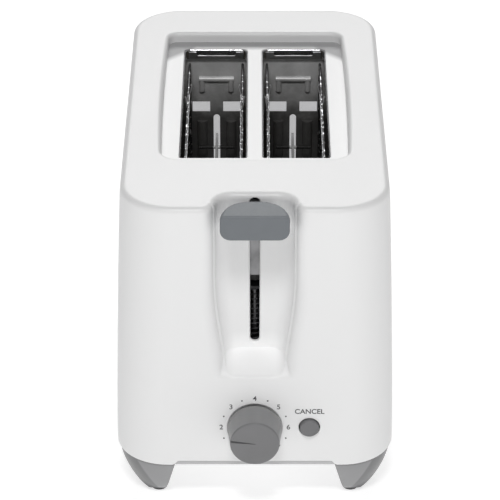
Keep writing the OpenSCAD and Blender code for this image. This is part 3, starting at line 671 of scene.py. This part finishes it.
# A folded steel lip closes each collar's rear end, with a wide notch cut out of it
lip_steel = metal("folded_lip", (0.50, 0.50, 0.505), 0.30, 0.30, 120, 0.02)
lip_half, notch_half = 16.9 * MM, 12.2 * MM
lip_top, notch_low = 184.3 * MM, 181.5 * MM
lip_y = slot_y + hole_half_y - 1.45 * MM
for name, side in (("left", -1), ("right", 1)):
    middle = side * slot_x
    lip_piece = block("slot_lip_" + name, (middle - lip_half, lip_y, lining_bottom + 0.1 * MM),
                      (middle + lip_half, lip_y + 0.6 * MM, lip_top), 0.2 * MM)
    cut(lip_piece, block("lip_notch", (middle - notch_half, lip_y - 1 * MM, notch_low),
                         (middle + notch_half, lip_y + 2 * MM, 187 * MM), 1.2 * MM))
    smooth(lip_piece)
    use(lip_piece, lip_steel)
    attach(lip_piece, "chassis")


# ---- lever handle ----
# A grey paddle, half an ellipse in plan, with a flat face and soft edges all round.
def upright_ring(half_x, z0, z1, r_low, r_high, y, steps=6):
    """A rounded rectangle in the upright plane."""
    ring = []
    r_low = min(r_low, half_x)
    r_high = min(r_high, half_x)
    for sx, z, r, way, start in ((1, z0, r_low, 1, -90), (1, z1, r_high, -1, 0),
                                 (-1, z1, r_high, -1, 90), (-1, z0, r_low, 1, 180)):
        cx, cz = sx * (half_x - r), z + way * r
        turn = [radians(start + 90 * i / steps) for i in range(steps + 1)]
        ring += [(cx + r * cos(a), y, cz + r * sin(a)) for a in turn]
    return ring


handle_low, handle_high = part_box("lever_handle")
handle_depth = handle_high.y - handle_low.y
fillet = 1.5 * MM
low_r, high_r = 5.8 * MM, 2.6 * MM
rings = []
for i in range(6):
    a = pi / 2 * i / 5
    tuck = fillet * (1 - sin(a))
    rings.append(upright_ring(handle_high.x - tuck, handle_low.z + tuck, handle_high.z - tuck,
                              low_r - tuck, high_r - tuck, handle_low.y + fillet * (1 - cos(a))))
for i in range(1, 25):
    a = mix(asin(fillet / handle_depth), radians(87), i / 24)
    drop = 1.6 * MM * ease((i - 10) / 14)
    rings.append(upright_ring(handle_high.x * cos(a), handle_low.z + drop, handle_high.z - drop,
                              low_r, high_r, handle_low.y + handle_depth * sin(a)))
handle = loft("handle_paddle", rings, cap_first=True, cap_last=True)
smooth(handle, 50)
handle_grey = plastic("handle_moulding", (0.178, 0.191, 0.205), 0.50, grain_size=1400, grain_depth=0.008,
                      drift=0.10)
tree, shader = shades_of(handle_grey)
shader.inputs["Specular IOR Level"].default_value = 0.25
cloud = noise(place(tree), 120, 3)
face_tone = tint(cloud, (0.165, 0.178, 0.190), (0.180, 0.193, 0.207))
# Painted light: surfaces facing up get a lighter grey than the face, as if lit from above
painted_lit_top = tint(cloud, (0.200, 0.214, 0.228), (0.226, 0.241, 0.256))
feed(shader, Base_Color=tint(spread(along(facing(tree), 2), 0.4, 0.8, 0.0, 1.0), face_tone, painted_lit_top))
use(handle, handle_grey)
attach(handle, "carriage")
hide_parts("lever_handle")


# ---- browning dial ----
# A tapered grey knob stands in a shallow ring in the front face.
# A wedge-shaped groove in its face marks where it points.
def turned(name, x, z, profile, sides=96):
    """A turned shape about an axis along Y, from pairs of radius and y in millimetres."""
    turn = [2 * pi * i / sides for i in range(sides)]
    rings = [[(x + r * MM * cos(a), y * MM, z + r * MM * sin(a)) for a in turn] for r, y in profile]
    return loft(name, rings, cap_first=True, cap_last=True)


knob_back = knob_high.y / MM
knob_face = knob_low.y / MM
knob = turned("knob", 0, dial_z,
             [(3.2, knob_back + 0.3), (14.6, knob_back + 0.3), (15.2, knob_back + 0.1),
              (15.4, knob_back - 0.4), (15.35, knob_back - 1.2), (14.9, knob_back - 6),
              (14.45, knob_back - 11), (14.15, knob_face + 1.5), (14.1, knob_face + 1.0),
              (13.95, knob_face + 0.55), (13.65, knob_face + 0.2), (13.2, knob_face + 0.03),
              (12.6, knob_face), (9, knob_face + 0.1), (4, knob_face + 0.15), (0.4, knob_face + 0.15)])
pointer_angle = radians(173)
ahead_x, ahead_z = cos(pointer_angle), sin(pointer_angle)
rings = []
for reach, half_width, depth in ((16.0, 1.0, 1.5), (7.0, 0.75, 1.0), (-0.5, 0.3, 0.35)):
    rings.append([((ahead_x * reach - ahead_z * w) * MM, (knob_face + y) * MM,
                   dial_z + (ahead_z * reach + ahead_x * w) * MM)
                  for w, y in ((-half_width, -1), (half_width, -1), (half_width * 0.55, depth),
                               (-half_width * 0.55, depth))])
groove = loft("pointer_groove", rings, cap_first=True, cap_last=True)
cut(knob, groove)
smooth(knob, 32)
knob_grey, tree, shader = new_material("knob_moulding", Specular_IOR_Level=0.5)
where = place(tree)
cloud = noise(where, 60, 4)
skin = noise(where, 1500, 2)
# Painted light: the side is painted lighter than the face, as if lit from above, with soft painted highlight
# bands along it
flank = spread(along(where, 1), knob_low.y + 0.5 * MM, knob_low.y + 1.2 * MM, 0.0, 1.0)
face_tone = tint(cloud, (0.165, 0.165, 0.168), (0.19, 0.19, 0.195))
painted_highlight_streak = noise(place(tree, (1, 0.03, 1)), 130, 1)
painted_lit_side = tint(painted_highlight_streak, (0.215, 0.215, 0.218), (0.285, 0.285, 0.289))
feed(shader, Base_Color=tint(flank, face_tone, painted_lit_side), Roughness=spread(skin, 0.3, 0.7, 0.36, 0.39),
     Normal=bump(skin, 0.003 * MM))
use(knob, knob_grey)
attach(knob, "dial")
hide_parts("dial_knob")


# ---- cancel button ----
# A round grey key with a soft rim and a faint dish stands a little proud of its hole.
key_face = button_low.y / MM
key_back = button_high.y / MM
key = turned("cancel_key_cap", button_x, dial_z,
             [(3.0, key_back), (7.2, key_back), (7.25, key_back - 0.8), (5.6, key_back - 0.9),
              (5.6, key_face + 1.0), (5.45, key_face + 0.45), (5.05, key_face + 0.08), (4.75, key_face),
              (4.5, key_face + 0.10), (4.2, key_face + 0.32), (3.0, key_face + 0.42),
              (0.3, key_face + 0.45)], 64)
smooth(key, 40)
use(key, plastic("key_moulding", (0.17, 0.17, 0.175), 0.38, grain_size=1500, grain_depth=0.014, drift=0.10))
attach(key, "cancel_key")
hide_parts("cancel_button")


# ---- printed scale ----
# Plain numbers and dots ring the dial, and a plain legend stands over the key. All are ink-thin.
def printed(text, x, z, size, weight):
    """Flat ink letters on the front face, a little thickened by weight."""
    deselect()
    bpy.ops.object.text_add(location=(x, face_y(z) - 0.06 * MM, z), rotation=(pi / 2, 0, 0))
    words = bpy.context.object
    words.data.body = text
    words.data.size = size
    words.data.align_x = "CENTER"
    words.data.align_y = "CENTER"
    words.data.extrude = 0.03 * MM
    words.data.offset = weight
    bpy.ops.object.convert(target="MESH")
    return settle(named("print"))


prints = []
scale_r, step = 19.2 * MM, 45
digit_size, digit_weight = 4.5 * MM, 0.045 * MM
legend_size, legend_weight = 4.4 * MM, 0.07 * MM
legend_z = 62.2 * MM
for i in range(7):
    a = radians(225 - step * i)
    prints.append(printed(str(i + 1), scale_r * cos(a), dial_z + scale_r * sin(a), digit_size, digit_weight))
for i in range(6):
    a = radians(225 - step * (i + 0.5))
    x, z = scale_r * cos(a), dial_z + scale_r * sin(a)
    y = face_y(z) / MM
    dot = [(0.1, y + 0.05), (0.48, y + 0.04), (0.50, y - 0.05), (0.1, y - 0.07)]
    prints.append(turned("print", x, z, dot, 16))
prints.append(printed("CANCEL", button_x, legend_z, legend_size, legend_weight))
deselect()
for item in prints:
    item.select_set(True)
bpy.context.view_layer.objects.active = prints[0]
bpy.ops.object.join()
scale_print = named("dial_print")
ink, tree, shader = new_material("grey_ink", Specular_IOR_Level=0.3)
wear = noise(place(tree), 1800, 3)
feed(shader, Base_Color=tint(wear, (0.07, 0.07, 0.072), (0.13, 0.13, 0.135)),
     Roughness=spread(wear, 0, 1, 0.45, 0.7))
use(scale_print, ink)
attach(scale_print, "chassis")


# ---- feet ----
# Four grey feet hang under the corners. Each follows the shell's corner at the top, swells outwards,
# and comes in to a small flat sole, with a crease between its front and its side.
crease_turn, crease_in = 50, 1.1 * MM
foot_inner_x = 46 * MM
foot_fullness = 1.8
sole_x = 57.6 * MM
sole_spots = {-1: -108 * MM, 1: 125 * MM}
sole_half, sole_r = 5.6 * MM, 3.0 * MM


def foot_ring(share, sx, sy, sole_y):
    """One level of a foot, from its top (0) to its sole (1), in the outer corner's own frame."""
    top_r = corner - 1.2 * MM
    cx, cy = half_low - corner, (rear_low - front_low) / 2 - corner
    corner_x, corner_y = sole_x + sole_half, sole_y + sole_half
    front_top = [(foot_inner_x, cy + top_r)] + line((foot_inner_x, cy + top_r), (cx, cy + top_r), even(3))
    front_top += arc(cx, cy, top_r, 90, crease_turn, 8)
    side_top = arc(cx, cy, top_r, crease_turn, 0, 9)
    side_top += line((cx + top_r, cy), (cx + top_r, cy - 3 * MM), even(3))
    inner_top = [(60 * MM, cy - 3 * MM), (52 * MM, cy + 4 * MM), (foot_inner_x, cy + 12 * MM)]
    crease_x = sole_x - crease_in
    front_sole = line((sole_x - sole_half, corner_y), (crease_x, corner_y),
                      [i / (len(front_top) - 1) for i in range(len(front_top))])
    side_sole = line((crease_x, corner_y), (corner_x - sole_r, corner_y), even(4))
    side_sole += arc(corner_x - sole_r, corner_y - sole_r, sole_r, 90, 0, 4)
    side_sole += line(side_sole[-1], (corner_x, sole_y - sole_half), even(4))
    inner_sole = [(sole_x, sole_y - sole_half), (sole_x - 0.7 * sole_half, sole_y - 0.7 * sole_half),
                  (sole_x - sole_half, sole_y)]
    flat, full = 1 - share, 1 - share ** foot_fullness
    crease_reach = cx + top_r * cos(radians(crease_turn)) - foot_inner_x
    ring = []
    for (ax, ay), (bx, by) in zip(front_top, front_sole):
        keep = mix(flat, full, min(max((ax - foot_inner_x) / crease_reach, 0), 1))
        ring.append((sx * mix(bx, ax, keep), sy * mix(by, ay, keep)))
    for tops, lows, keep in ((side_top, side_sole, full), (inner_top, inner_sole, flat)):
        ring += [(sx * mix(bx, ax, keep), sy * mix(by, ay, keep)) for (ax, ay), (bx, by) in zip(tops, lows)]
    return ring


shell_mid = (front_low + rear_low) / 2
foot_grey = plastic("foot_moulding", (0.24, 0.24, 0.245), 0.33, grain_size=1300, grain_depth=0.012,
                    drift=0.10)
tree, shader = shades_of(foot_grey)
where = place(tree)
spot_z = along(where, 2)
# Painted light: the front of the foot inside the crease is painted paler, as if lit from the front, and its
# outer side darker, as if in shade
painted_lit_facet = (spread(abs(along(where, 0)) - 0.55 * spot_z, 0.0553, 0.0540, 0.0, 1.0)
         * spread(spot_z, 0.0255, 0.0235, 0.0, 1.0))
cloud = noise(where, 40, 4)
painted_shaded_side = tint(cloud, (0.165, 0.165, 0.168), (0.20, 0.20, 0.204))
painted_lit_face = tint(cloud, (0.265, 0.265, 0.27), (0.315, 0.315, 0.32))
feed(shader, Base_Color=tint(painted_lit_facet, painted_shaded_side, painted_lit_face))
# Pairs of how far down the foot, from 0 to 1, and height in millimetres
foot_levels = ((0, 27.2), (0, 26.2), (0.03, 25.3), (0.1, 23.4), (0.2, 20.8), (0.3, 18.2), (0.4, 15.6),
               (0.5, 13), (0.6, 10.4), (0.7, 7.9), (0.8, 5.6), (0.88, 4.0), (0.95, 2.9), (1.0, 2.2))
for name, sx, sy in (("front_left", -1, -1), ("front_right", 1, -1),
                     ("rear_left", -1, 1), ("rear_right", 1, 1)):
    rings = []
    for share, z in foot_levels:
        ring = foot_ring(share, sx, sy, abs(sole_spots[sy] - shell_mid))
        rings.append([(x, shell_mid + y, z * MM) for x, y in ring])
    rings.append([(mix(x, sx * sole_x, 0.12), mix(y, sole_spots[sy], 0.12), 1.95 * MM)
                  for x, y, z in rings[-1]])
    foot = loft("foot_shape_" + name, rings, cap_first=True, cap_last=True)
    smooth(foot, 24)
    use(foot, foot_grey)
    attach(foot, "chassis")
    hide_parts("foot_" + name)


# ---- lift spring ----
# Thin steel wire is wound round the guide rod, under the bush.
def wire(name, path, r, sides=8):
    """A round wire along a path of points."""
    rings = []
    up = Vector((0.13, 0.21, 1)).normalized()
    for i, spot in enumerate(path):
        before, after = path[max(i - 1, 0)], path[min(i + 1, len(path) - 1)]
        tangent = (Vector(after) - Vector(before)).normalized()
        across = tangent.cross(up)
        if across.length < 0.2:
            across = tangent.cross(Vector((1, 0.1, 0)))
        across.normalize()
        up = across.cross(tangent).normalized()
        turn = [2 * pi * k / sides for k in range(sides)]
        rings.append([tuple(Vector(spot) + across * (r * cos(a)) + up * (r * sin(a))) for a in turn])
    return loft(name, rings, cap_first=True, cap_last=True)


spring_low, spring_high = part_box("lift_spring")
rod_y = (spring_low.y + spring_high.y) / 2
spring_wire_r = 0.3 * MM
coil_r = (spring_high.y - spring_low.y) / 2 - spring_wire_r
coil_low, coil_high = spring_low.z + spring_wire_r, spring_high.z - 0.2 * MM - spring_wire_r
turns, steps = 28, 24
path = []
for i in range(turns * steps + 1):
    a = 2 * pi * i / steps
    path.append((coil_r * cos(a), rod_y + coil_r * sin(a), mix(coil_low, coil_high, i / (turns * steps))))
spring = wire("lift_spring_coil", path, spring_wire_r)
smooth(spring, 60)
use(spring, metal("spring_wire", (0.15, 0.15, 0.155), 0.45, 0.3, 300, 0.01))
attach(spring, "chassis")
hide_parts("lift_spring")
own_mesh(spring)


# ---- materials of the pieces inside ----
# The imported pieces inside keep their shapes. Each gets the finish of its own stuff.
finishes = {
    "base_grey": plastic("base_moulding", (0.53, 0.53, 0.535), 0.42, grain_size=1200, grain_depth=0.02,
                         drift=0.08),
    "pad_rubber": plastic("pad_rubber", (0.11, 0.11, 0.112), 0.7, grain_depth=0.06, drift=0.2),
    "screw_steel": metal("zinc_screw", (0.55, 0.54, 0.50), 0.3, 0.25, 200, 0.02),
    "chamber_steel": metal("aluminised_plate", (0.30, 0.30, 0.305), 0.30, 0.35, 55, 0.05),
    "guard_wire": metal("bright_wire", (0.88, 0.88, 0.89), 0.26, 0.25, 220, 0.02),
    "rod_steel": metal("ground_rod", (0.22, 0.22, 0.225), 0.3, 0.15, 160, 0.01, (1, 1, 0.1)),
    "felt": plastic("felt_ring", (0.10, 0.10, 0.10), 0.95, grain_size=2500, grain_depth=0.25, drift=0.4),
    "arm_steel": metal("zinc_plate", (0.25, 0.25, 0.255), 0.34, 0.2, 90, 0.02),
    "bush_nylon": plastic("nylon", (0.12, 0.12, 0.12), 0.45, drift=0.1),
    "rack_wire": metal("rack_plate", (0.40, 0.40, 0.405), 0.30, 0.3, 120, 0.03),
    "magnet_iron": metal("soft_iron", (0.30, 0.29, 0.28), 0.4, 0.3, 120, 0.03),
    "coil_copper": metal("enamelled_wire", (0.60, 0.24, 0.10), 0.3, 0.25, 400, 0.08, (1, 1, 8)),
    "contact_brass": metal("brass_strip", (0.66, 0.50, 0.22), 0.25, 0.2, 200, 0.02),
    "board_green": plastic("board_lacquer", (0.035, 0.16, 0.065), 0.3, coat=0.3, drift=0.35),
    "pot_blue": plastic("pot_case", (0.03, 0.08, 0.26), 0.4, drift=0.15),
    "shaft_alloy": metal("shaft_alloy", (0.6, 0.6, 0.61), 0.3, 0.15, 150, 0.01),
    "switch_black": plastic("switch_case", (0.03, 0.03, 0.032), 0.45, drift=0.2),
    "tray_metal": metal("tray_sheet", (0.62, 0.62, 0.63), 0.28, 0.2, 35, 0.03),
    "inlet_grey": plastic("inlet_bush", (0.10, 0.10, 0.102), 0.55, drift=0.15),
    "terminal_ivory": plastic("terminal_case", (0.70, 0.65, 0.52), 0.45, drift=0.1),
    "lead_brown": plastic("lead_sleeve", (0.20, 0.07, 0.03), 0.5, drift=0.2),
    "mica": plastic("mica_sheet", (0.42, 0.38, 0.31), 0.35, coat=0.4, grain_size=300, grain_depth=0.08,
                    drift=0.4),
    "ribbon": metal("resistance_ribbon", (0.36, 0.33, 0.31), 0.3, 0.35, 300, 0.02),
}
shown = frame["nodes"]
slot_of = {row["node"]: row["material_slot"] for row in frame["record"]["subparts"]}
for name, piece in shown.items():
    if slot_of.get(name) in finishes:
        use(piece, finishes[slot_of[name]])


# ---- toasting chamber plates and bread racks ----
# The rear plate is dulled zinc, brighter near the mouth of the slots and brown-black further down.
# The racks' spines stay bright along the top, and their cross rods are dark from heat.
lower_darkened_zinc, tree, shader = new_material("zinc_darker_below", Metallic=0.25)
where = place(tree)
cloud = noise(where, 70, 6, 0.65)
fine = noise(where, 600, 3)
brighter_part = spread(along(where, 2) + 0.018 * cloud, 0.146, 0.176, 0.0, 1.0)
low_tone = tint(cloud, (0.055, 0.054, 0.053), (0.130, 0.127, 0.124))
high_tone = tint(cloud, (0.42, 0.42, 0.42), (0.85, 0.85, 0.85))
feed(shader, Base_Color=tint(brighter_part, low_tone, high_tone),
     Roughness=spread(cloud + 0.4 * fine, 0.3, 1.0, 0.30, 0.55), Normal=bump(cloud + 0.3 * fine, 0.08 * MM))
for name in ("rear_end_plate", "front_end_plate"):
    use(shown[name], lower_darkened_zinc)

# The carriage's bridge, seen through the lever slot, is blackened
use(shown["carriage_bridge"], metal("blackened_plate", (0.06, 0.06, 0.062), 0.5, 0.3, 90, 0.02))

rack_finish, tree, shader = new_material("rack_steel", Metallic=0.3, Specular_IOR_Level=0.2)
where = place(tree)
cloud = noise(where, 150, 5, 0.6)
spine = spread(abs(abs(along(where, 0)) - slot_x), 0.0016, 0.0024, 1.0, 0.0)
bright = tint(cloud, (0.42, 0.42, 0.42), (0.56, 0.56, 0.56))
burnt = tint(cloud, (0.012, 0.012, 0.012), (0.035, 0.034, 0.033))
feed(shader, Base_Color=tint(spine, burnt, bright), Roughness=spread(cloud, 0.3, 0.7, 0.42, 0.60),
     Normal=bump(cloud, 0.03 * MM))
for name in ("bread_rack_left", "bread_rack_right"):
    use(shown[name], rack_finish)


# ---- guards and their wires ----
# The guards' frames are dark, with painted highlights as bright spots. Sprung wire runs in a zigzag along
# the top of each, and two hooks stand up at its rear end.
guard_finish, tree, shader = new_material("guard_frame_steel", Metallic=0.8)
where = place(tree)
cloud = noise(where, 260, 3, 0.6)
painted_glints = spread(cloud, 0.56, 0.62, 0.0, 1.0)
feed(shader, Base_Color=tint(painted_glints, (0.055, 0.055, 0.056), (0.70, 0.70, 0.71)),
     Roughness=spread(cloud, 0.3, 0.7, 0.55, 0.30), Normal=bump(cloud, 0.05 * MM))
for name in ("guard_outer_left", "guard_inner_left", "guard_inner_right", "guard_outer_right"):
    use(shown[name], guard_finish)

zigzag_r, hook_r = 0.45 * MM, 0.5 * MM
zigzag_start, zigzag_pitch, zigzag_bends = -46, 5.4, 18
zigzag_low, zigzag_high = 175.2, 180.0
for name, x, lean in (("outer_left", -40.3, 1), ("inner_left", -7.5, -1),
                      ("inner_right", 7.5, 1), ("outer_right", 40.3, -1)):
    path = [((x + lean * (0.5 + 0.5 * (i % 2))) * MM, (zigzag_start + zigzag_pitch * i) * MM,
             (zigzag_high if i % 2 else zigzag_low) * MM) for i in range(zigzag_bends)]
    soft = []
    for a, b in zip(path, path[1:]):
        soft += [tuple(mix(p, q, t) for p, q in zip(a, b)) for t in (0.12, 0.5, 0.88)]
    parts = [wire("guard_zigzag", soft, zigzag_r)]
    for y, tip in ((47.0, 2.2), (31.0, -0.9)):
        hook = [(x * MM, y * MM, 170 * MM), (x * MM, y * MM, 175 * MM),
                ((x + lean * tip * 0.3) * MM, (y + 0.6) * MM, 178 * MM),
                ((x + lean * tip * 0.8) * MM, (y + 1.2) * MM, 181 * MM),
                ((x + lean * tip) * MM, (y + 1.6) * MM, 183.4 * MM),
                ((x + lean * (tip - 0.6)) * MM, (y + 1.9) * MM, 184.4 * MM)]
        parts.append(wire("guard_hook", hook, hook_r))
    deselect()
    for part in parts:
        part.select_set(True)
    bpy.context.view_layer.objects.active = parts[0]
    bpy.ops.object.join()
    guard_wire = named("guard_spring_" + name)
    smooth(guard_wire, 60)
    use(guard_wire, finishes["guard_wire"])
    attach(guard_wire, "guard_" + name + "_frame")
